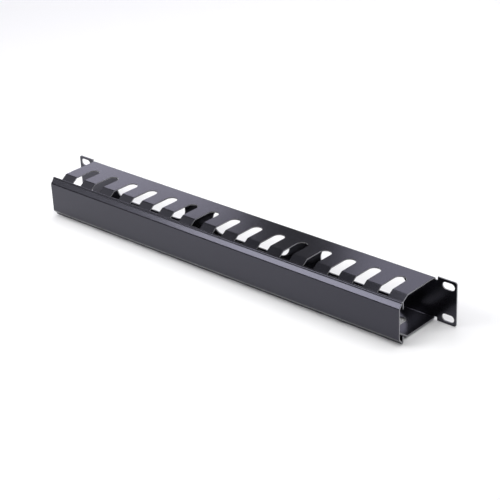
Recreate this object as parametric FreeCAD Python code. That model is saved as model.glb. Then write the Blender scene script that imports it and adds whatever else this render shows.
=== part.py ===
import FreeCAD, Part
import math
import os

# Slotted cable manager, one rack unit high, for a 19 inch rack: a folded duct with
# rack ears and open fingers, and a folded front cover that sits on the finger tips.
# Millimetres. X runs along the panel, -Y to the front, +Z up. The origin is the middle
# of the rear face, which lies against the rack rails.

# Sheet metal
sheet = 1.2
bend_radius = 1.2

# The rack that the panel fits: its unit and the holes of its rails
rack_unit = 44.45
rack_hole_spacing = 465.1
rack_hole_to_unit_edge = 6.35

# Rack panel
panel_below_unit = 0.45
rack_slot_to_ear_end = 8.75
rack_slot_length = 13.0
rack_slot_height = 7.0
ear_corner_radius = 2.5
relief_width = 3.0

# Duct and its fingers
rack_slot_to_duct_end = 14.55
flange_inside_panel_edge = 1.0
finger_count = 16
slot_width = 12.0
slot_root_depth = 17.0
tip_depth = 18.0
tip_slope = 35.0
tip_corner_radius = 3.0

# Cable openings in the rear plate
cable_opening_count = 3
cable_opening_gap = 38.0
cable_opening_to_duct_end = 30.0
cable_opening_to_flange = 8.5

# Front cover
overall_depth = 60.0
cover_overhang = 4.5
cover_slope_depth = 3.5
cover_slope_rise = 4.0
hem_bend_radius = 0.3
hem_flat = 0.3
hem_crease_radius = 0.4

# Fit of the cover on the finger tips
seat_clearance = 0.3
tip_engagement = 1.5

# Panel, from the rack
panel_width = rack_hole_spacing + 2 * rack_slot_to_ear_end
panel_height = rack_unit - panel_below_unit
rack_hole_rise = rack_unit - 2 * rack_hole_to_unit_edge

# Duct, from the panel
duct_length = rack_hole_spacing - 2 * rack_slot_to_duct_end
duct_height = panel_height - 2 * flange_inside_panel_edge
half_height = duct_height / 2
outer_bend_radius = bend_radius + sheet
flange_depth = overall_depth - tip_depth
tip_drop = math.tan(math.radians(tip_slope))
finger_pitch = (duct_length + slot_width) / finger_count

# Cable openings, evenly spread over the duct
cable_opening_pitch = (duct_length + cable_opening_gap - 2 * cable_opening_to_duct_end) / cable_opening_count
cable_opening_length = cable_opening_pitch - cable_opening_gap
cable_opening_height = duct_height - 2 * cable_opening_to_flange

# Cover, from the duct
cover_length = duct_length + 2 * cover_overhang
hem_radius = hem_bend_radius + sheet
hem_depth = 2 * hem_radius
hem_height = hem_radius + hem_flat
return_rear = hem_depth + cover_slope_depth - overall_depth
tip_end = return_rear - sheet - tip_engagement

# Cutters start and end one sheet clear of the rear plate
plate_cut_front = -2 * sheet
plate_cut_depth = 3 * sheet


def line(start, end):
    return Part.LineSegment(start, end).toShape()


def arc(start, middle, end):
    return Part.Arc(start, middle, end).toShape()


def section_point(y, z):
    return FreeCAD.Vector(0, y, z)


def rounded_path(corners, radii):
    """Edges through the corners, each inner corner rounded by its own radius."""
    edges = []
    start = corners[0]
    for before, corner, after, radius in zip(corners, corners[1:], corners[2:], radii):
        back = (before - corner).normalize()
        ahead = (after - corner).normalize()
        half_angle = back.getAngle(ahead) / 2
        tangent = radius / math.tan(half_angle)
        enter = corner + back * tangent
        leave = corner + ahead * tangent
        inset = radius / math.sin(half_angle) - radius
        middle = corner + (back + ahead).normalize() * inset
        if not enter.isEqual(start, 1e-6):
            edges.append(line(start, enter))
        edges.append(arc(enter, middle, leave))
        start = leave
    edges.append(line(start, corners[-1]))
    return edges


def left_of(direction):
    return FreeCAD.Vector(0, -direction.z, direction.y)


def inner_side(corners, radii):
    """Corners and bend radii of the sheet's other side, one thickness to the left."""
    runs = [(b - a).normalize() for a, b in zip(corners, corners[1:])]
    inner = [corners[0] + left_of(runs[0]) * sheet]
    inner_radii = []
    for corner, before, after, radius in zip(corners[1:], runs, runs[1:], radii):
        sides = left_of(before) + left_of(after)
        inner.append(corner + sides * (sheet / (1 + before.dot(after))))
        turns_left = before.cross(after).x > 0
        inner_radii.append(radius - sheet if turns_left else radius + sheet)
    inner.append(corners[-1] + left_of(runs[-1]) * sheet)
    return inner, inner_radii


def folded_strip(half_corners, half_radii, length):
    """A bent strip of sheet along X, from its outer side up to the middle height."""
    corners = half_corners + [section_point(c.y, -c.z) for c in reversed(half_corners)]
    radii = half_radii + half_radii[::-1]
    inner, inner_radii = inner_side(corners, radii)
    edges = rounded_path(corners, radii)
    edges.append(line(corners[-1], inner[-1]))
    edges += rounded_path(inner[::-1], inner_radii[::-1])
    edges.append(line(inner[0], corners[0]))
    section = Part.Face(Part.Wire(edges))
    section.translate(FreeCAD.Vector(-length / 2, 0, 0))
    return section.extrude(FreeCAD.Vector(length, 0, 0))


def finger_top(y):
    """Height of a finger's outer side where its tip slopes down, at depth y."""
    return half_height - (-y - flange_depth) * tip_drop


def round_ended_cut(x, z, length, height):
    """A cutter with round ends, through the rear plate along Y."""
    radius = height / 2
    half_run = length / 2 - radius
    left = FreeCAD.Vector(x - half_run, plate_cut_front, z)
    right = FreeCAD.Vector(x + half_run, plate_cut_front, z)
    up = FreeCAD.Vector(0, 0, radius)
    out = FreeCAD.Vector(radius, 0, 0)
    outline = Part.Wire([
        line(left + up, right + up),
        arc(right + up, right + out, right - up),
        line(right - up, left - up),
        arc(left - up, left - out, left + up),
    ])
    return Part.Face(outline).extrude(FreeCAD.Vector(0, plate_cut_depth, 0))


def centred(count, pitch):
    """Evenly spaced places about the middle."""
    return [(i - (count - 1) / 2) * pitch for i in range(count)]


def gap_between_fingers(x):
    """A cutter from the round root of a slot out past the rounded finger tips."""
    half = slot_width / 2
    base = -half_height - sheet
    root = -slot_root_depth - half
    flare = tip_end + tip_corner_radius
    wide = half + tip_corner_radius
    front = tip_end - sheet
    bulge = tip_corner_radius * (1 - math.sqrt(0.5))

    def place(dx, y):
        return FreeCAD.Vector(x + dx, y, base)

    outline = Part.Wire([
        arc(place(-half, root), place(0, root + half), place(half, root)),
        line(place(half, root), place(half, flare)),
        arc(place(half, flare), place(half + bulge, tip_end + bulge), place(wide, tip_end)),
        line(place(wide, tip_end), place(wide, front)),
        line(place(wide, front), place(-wide, front)),
        line(place(-wide, front), place(-wide, tip_end)),
        arc(place(-wide, tip_end), place(-half - bulge, tip_end + bulge), place(-half, flare)),
        line(place(-half, flare), place(-half, root)),
    ])
    return Part.Face(outline).extrude(FreeCAD.Vector(0, 0, duct_height + 2 * sheet))


def rear_plate():
    """The flat panel with its ears, relieved beside the flange bends."""
    corner = FreeCAD.Vector(-panel_width / 2, -sheet, -panel_height / 2)
    plate = Part.makeBox(panel_width, sheet, panel_height, corner)
    across_sheet = [edge for edge in plate.Edges if math.isclose(edge.Length, sheet)]
    plate = plate.makeFillet(ear_corner_radius, across_sheet)
    bend_start = half_height - outer_bend_radius
    relief_length = duct_length + 2 * relief_width
    for low in (bend_start, -bend_start - panel_height):
        corner = FreeCAD.Vector(-relief_length / 2, plate_cut_front, low)
        plate = plate.cut(Part.makeBox(relief_length, plate_cut_depth, panel_height, corner))
    return plate


def duct_body():
    """The duct: rear plate, two flanges and their fingers, all one folded sheet."""
    lower = [section_point(tip_end, -finger_top(tip_end)),
             section_point(-flange_depth, -half_height),
             section_point(0, -half_height)]
    channel = folded_strip(lower, [outer_bend_radius, outer_bend_radius], duct_length)
    body = channel.fuse(rear_plate())
    cuts = [gap_between_fingers(x) for x in centred(finger_count + 1, finger_pitch)]
    for x in centred(cable_opening_count, cable_opening_pitch):
        cuts.append(round_ended_cut(x, 0, cable_opening_length, cable_opening_height))
    for x in centred(2, rack_hole_spacing):
        for z in centred(2, rack_hole_rise):
            cuts.append(round_ended_cut(x, z, rack_slot_length, rack_slot_height))
    return body.cut(cuts).removeSplitter()


def front_cover():
    """The cover: face, sloped edges, round hems and the returns that sit on the tips."""
    return_end = finger_top(return_rear) + seat_clearance / math.cos(math.radians(tip_slope))
    hem_front = return_rear - hem_depth
    crease = half_height - hem_height
    upper = [section_point(return_rear, return_end),
             section_point(return_rear, half_height),
             section_point(hem_front, half_height),
             section_point(hem_front, crease),
             section_point(-overall_depth, crease - cover_slope_rise)]
    radii = [hem_radius, hem_radius, hem_crease_radius, outer_bend_radius]
    return folded_strip(upper, radii, cover_length)


os.makedirs("parts", exist_ok=True)
duct_body().exportStep("parts/duct_body.step")
front_cover().exportStep("parts/front_cover.step")
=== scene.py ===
import bmesh
import bpy
import math
from mathutils import Matrix, Vector


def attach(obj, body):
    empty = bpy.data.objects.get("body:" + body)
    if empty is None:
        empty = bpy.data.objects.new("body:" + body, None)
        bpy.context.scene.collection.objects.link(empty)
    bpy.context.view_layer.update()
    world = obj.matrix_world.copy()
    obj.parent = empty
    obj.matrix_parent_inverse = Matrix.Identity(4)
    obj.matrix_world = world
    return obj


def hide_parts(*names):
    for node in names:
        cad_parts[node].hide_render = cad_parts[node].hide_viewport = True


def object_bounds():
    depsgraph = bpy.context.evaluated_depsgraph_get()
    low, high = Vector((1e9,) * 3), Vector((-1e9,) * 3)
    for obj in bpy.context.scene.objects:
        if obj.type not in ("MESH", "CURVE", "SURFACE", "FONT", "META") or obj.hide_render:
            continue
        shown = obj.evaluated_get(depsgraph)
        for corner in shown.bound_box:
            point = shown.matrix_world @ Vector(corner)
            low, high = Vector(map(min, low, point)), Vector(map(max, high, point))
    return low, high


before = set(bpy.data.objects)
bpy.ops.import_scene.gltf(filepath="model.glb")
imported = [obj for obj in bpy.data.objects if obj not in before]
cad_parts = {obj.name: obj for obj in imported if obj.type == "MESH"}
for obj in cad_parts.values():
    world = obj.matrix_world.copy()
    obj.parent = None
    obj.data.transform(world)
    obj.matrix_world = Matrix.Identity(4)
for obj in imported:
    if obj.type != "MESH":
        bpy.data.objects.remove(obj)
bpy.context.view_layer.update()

# Duct body
# One steel sheet, laser cut and folded: rear plate with rack ears, two flanges and their
# fingers. Its cut edges are broken before the satin black powder coat goes on.
sheet = 0.0012
edge_break = 0.00022
sharp_edge = math.radians(28)
weld_distance = 0.000004
flat_angle = math.radians(0.6)
duct_black = (0.0032, 0.0032, 0.0042)
# Light grey for the cut edges: partly a thinner coat, partly a painted highlight of light caught by the
# edges.
thin_coat_and_highlight = (0.28, 0.28, 0.29)
duct_roughness = 0.20


def is_cut_edge(face):
    """Tells the narrow sides of the sheet, where it was cut, from its two broad sides."""
    least_end_lean = 0.05
    least_rim_lean = 0.9
    plate_tolerance = 0.00001
    leans_to_an_end = abs(face.normal.x) > least_end_lean
    is_level = abs(face.normal.z) > least_rim_lean
    is_in_rear_plate = min(vert.co.y for vert in face.verts) > -sheet - plate_tolerance
    return leans_to_an_end or (is_level and is_in_rear_plate)


def sheet_metal(node, name, body):
    """The folded sheet itself, with its cut edges broken and its bends smooth."""
    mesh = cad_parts[node].data.copy()
    mesh.name = name
    mesh.materials.clear()
    metal = bmesh.new()
    metal.from_mesh(mesh)
    bmesh.ops.remove_doubles(metal, verts=metal.verts, dist=weld_distance)
    bmesh.ops.dissolve_limit(metal, angle_limit=flat_angle, verts=metal.verts, edges=metal.edges)
    cut_edge = metal.faces.layers.float.new("cut_edge")
    for face in metal.faces:
        face.smooth = True
        face[cut_edge] = float(is_cut_edge(face))
    metal.to_mesh(mesh)
    metal.free()
    piece = bpy.data.objects.new(name, mesh)
    bpy.context.scene.collection.objects.link(piece)
    broken = piece.modifiers.new("broken_edges", "BEVEL")
    broken.width = edge_break
    broken.segments = 2
    broken.limit_method = "ANGLE"
    broken.angle_limit = sharp_edge
    broken.harden_normals = True
    broken.use_clamp_overlap = True
    level = piece.modifiers.new("flat_faces_stay_flat", "WEIGHTED_NORMAL")
    level.mode = "FACE_AREA"
    level.weight = 50
    level.keep_sharp = True
    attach(piece, body)
    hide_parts(node)
    return piece


def powder_coat(name, colour, edge_colour, roughness):
    """Satin powder coat with a fine orange peel. Its cut edges are light grey, partly for a thinner coat
    there and partly as a painted highlight of light glancing off them.
    """
    bluish_gloss = (0.80, 0.79, 1.0, 1)
    speckle_start = 0.30
    speckle_end = 0.70
    darkest_speck = 0.72
    lightest_speck = 1.30
    uneven_gloss = 0.03

    paint = bpy.data.materials.new(name)
    paint.use_nodes = True
    nodes = paint.node_tree.nodes
    links = paint.node_tree.links
    shader = nodes["Principled BSDF"]
    shader.inputs["Metallic"].default_value = 0.0
    shader.inputs["IOR"].default_value = 1.6
    shader.inputs["Specular Tint"].default_value = bluish_gloss
    place = nodes.new("ShaderNodeTexCoord")

    def noise(scale, detail):
        grain = nodes.new("ShaderNodeTexNoise")
        grain.inputs["Scale"].default_value = scale
        grain.inputs["Detail"].default_value = detail
        links.new(place.outputs["Object"], grain.inputs["Vector"])
        return grain.outputs["Fac"]

    def bump(height, strength, depth):
        relief = nodes.new("ShaderNodeBump")
        relief.inputs["Strength"].default_value = strength
        relief.inputs["Distance"].default_value = depth
        links.new(height, relief.inputs["Height"])
        return relief

    speckle = noise(scale=2600, detail=3)
    peel = noise(scale=750, detail=2)
    cloud = noise(scale=22, detail=4)

    tone = nodes.new("ShaderNodeValToRGB")
    dark, light = tone.color_ramp.elements
    dark.position = speckle_start
    dark.color = [c * darkest_speck for c in colour] + [1]
    light.position = speckle_end
    light.color = [c * lightest_speck for c in colour] + [1]
    links.new(speckle, tone.inputs["Fac"])

    # Cut edges are mixed to a light grey: partly a thinner coat, partly a painted highlight of light caught
    # by the edges.
    on_edge = nodes.new("ShaderNodeAttribute")
    on_edge.attribute_name = "cut_edge"
    coat = nodes.new("ShaderNodeMix")
    coat.data_type = "RGBA"
    coat.inputs["B"].default_value = (*edge_colour, 1)
    links.new(on_edge.outputs["Fac"], coat.inputs["Factor"])
    links.new(tone.outputs["Color"], coat.inputs["A"])
    links.new(coat.outputs["Result"], shader.inputs["Base Color"])

    gloss = nodes.new("ShaderNodeMapRange")
    gloss.inputs["To Min"].default_value = roughness - uneven_gloss
    gloss.inputs["To Max"].default_value = roughness + uneven_gloss
    links.new(cloud, gloss.inputs["Value"])
    links.new(gloss.outputs["Result"], shader.inputs["Roughness"])

    fine = bump(speckle, strength=0.3, depth=0.00003)
    wavy = bump(peel, strength=0.5, depth=0.00005)
    links.new(fine.outputs["Normal"], wavy.inputs["Normal"])
    links.new(wavy.outputs["Normal"], shader.inputs["Normal"])
    return paint


duct = sheet_metal("duct_body", "duct", "duct")
duct.data.materials.append(powder_coat("duct_paint", duct_black, thin_coat_and_highlight, duct_roughness))

# Front cover
# A second folded sheet that snaps over the finger tips: flat face, sloped edges, rolled
# hems and returns. It is coated in the same satin black, a touch less glossy.
cover_black = (0.0032, 0.0032, 0.0040)
cover_roughness = 0.21
cover = sheet_metal("front_cover", "cover", "cover")
cover.data.materials.append(powder_coat("cover_paint", cover_black, thin_coat_and_highlight, cover_roughness))

# Studio
# A plain white table under a wide ceiling light and a nearer overhead one. Softboxes at the
# front left light the cover's slope, two behind light the top flange with a dark gap between
# them, and one high on the left lights the finger tips.
table_half_width = 6.0
table_clearance = 0.0002
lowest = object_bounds()[0].z
table_mesh = bpy.data.meshes.new("table")
table_form = bmesh.new()
bmesh.ops.create_grid(table_form, x_segments=1, y_segments=1, size=table_half_width)
bmesh.ops.translate(table_form, verts=table_form.verts, vec=(0, 0, lowest - table_clearance))
table_form.to_mesh(table_mesh)
table_form.free()
table = bpy.data.objects.new("table", table_mesh)
bpy.context.scene.collection.objects.link(table)
white = bpy.data.materials.new("table_white")
white.use_nodes = True
table_shader = white.node_tree.nodes["Principled BSDF"]
table_shader.inputs["Base Color"].default_value = (0.93, 0.93, 0.94, 1)
table_shader.inputs["Roughness"].default_value = 0.9
table_shader.inputs["Specular IOR Level"].default_value = 0.1
table_mesh.materials.append(white)

world = bpy.data.worlds.new("studio")
world.use_nodes = True
surroundings = world.node_tree.nodes["Background"]
surroundings.inputs["Color"].default_value = (1.0, 1.0, 1.0, 1)
surroundings.inputs["Strength"].default_value = 0.13
bpy.context.scene.world = world

neutral = (1.0, 1.0, 1.0)
cool = (0.87, 0.85, 1.0)


def softbox(name, place, aim, size, power, colour=neutral):
    """A rectangular soft light, turned to face the point it lights."""
    lamp = bpy.data.lights.new(name, "AREA")
    lamp.shape = "RECTANGLE"
    lamp.size, lamp.size_y = size
    lamp.energy = power
    lamp.color = colour
    stand = bpy.data.objects.new(name, lamp)
    stand.location = place
    stand.rotation_euler = (Vector(aim) - Vector(place)).to_track_quat("-Z", "Y").to_euler()
    bpy.context.scene.collection.objects.link(stand)


softbox("ceiling", (1.8, -0.5, 3.0), aim=(1.8, -0.5, 0), size=(6.4, 7.0), power=112)
softbox("overhead", (0, 0.15, 1.5), aim=(0, 0.15, 0), size=(1.4, 1.3), power=11.5)
softbox("front_left", (-0.36, -0.59, 0.58), aim=(0.05, -0.06, 0.02), size=(0.50, 0.28), power=3.15)
softbox("front_left_edge", (-0.71, -0.50, 0.52), aim=(-0.10, -0.06, 0.02), size=(0.24, 0.28), power=0.24)
softbox("rear_far", (-1.36, 0.87, 0.56), aim=(-0.12, -0.02, 0.02), size=(0.80, 0.50), power=2.42, colour=cool)
softbox("rear_near", (-0.22, 0.85, 0.56), aim=(0.15, -0.02, 0.02), size=(0.56, 0.50), power=1.24, colour=cool)
softbox("left_high", (-1.75, -0.45, 1.4), aim=(0, 0, 0), size=(0.9, 0.9), power=1.85)

# Camera
# A long lens from the front right and above, high enough to look into the slots. The lens
# and the place were fitted to the ears, the slots and the cover in the photograph.
picture_pixels = 500
lens_pixels = 1482.9
azimuth = math.radians(42.68)
elevation = math.radians(26.59)
roll = math.radians(-2.645)
stand_point = Vector((0.87964, -0.95644, 0.63166))
forward = Vector((-math.sin(azimuth) * math.cos(elevation), math.cos(azimuth) * math.cos(elevation),
                  -math.sin(elevation)))
level = Vector((forward.y, -forward.x, 0)).normalized()
upright = level.cross(forward)
right = level * math.cos(roll) + upright * math.sin(roll)
up = upright * math.cos(roll) - level * math.sin(roll)
lens = bpy.data.cameras.new("camera")
lens.sensor_width = 36
lens.lens = lens_pixels * lens.sensor_width / picture_pixels
lens.clip_start = 0.05
lens.clip_end = 30
camera = bpy.data.objects.new("camera", lens)
camera.matrix_world = Matrix((
    (right.x, up.x, -forward.x, stand_point.x),
    (right.y, up.y, -forward.y, stand_point.y),
    (right.z, up.z, -forward.z, stand_point.z),
    (0, 0, 0, 1),
))
bpy.context.scene.collection.objects.link(camera)
bpy.context.scene.camera = camera
bpy.context.scene.view_settings.view_transform = "Standard"
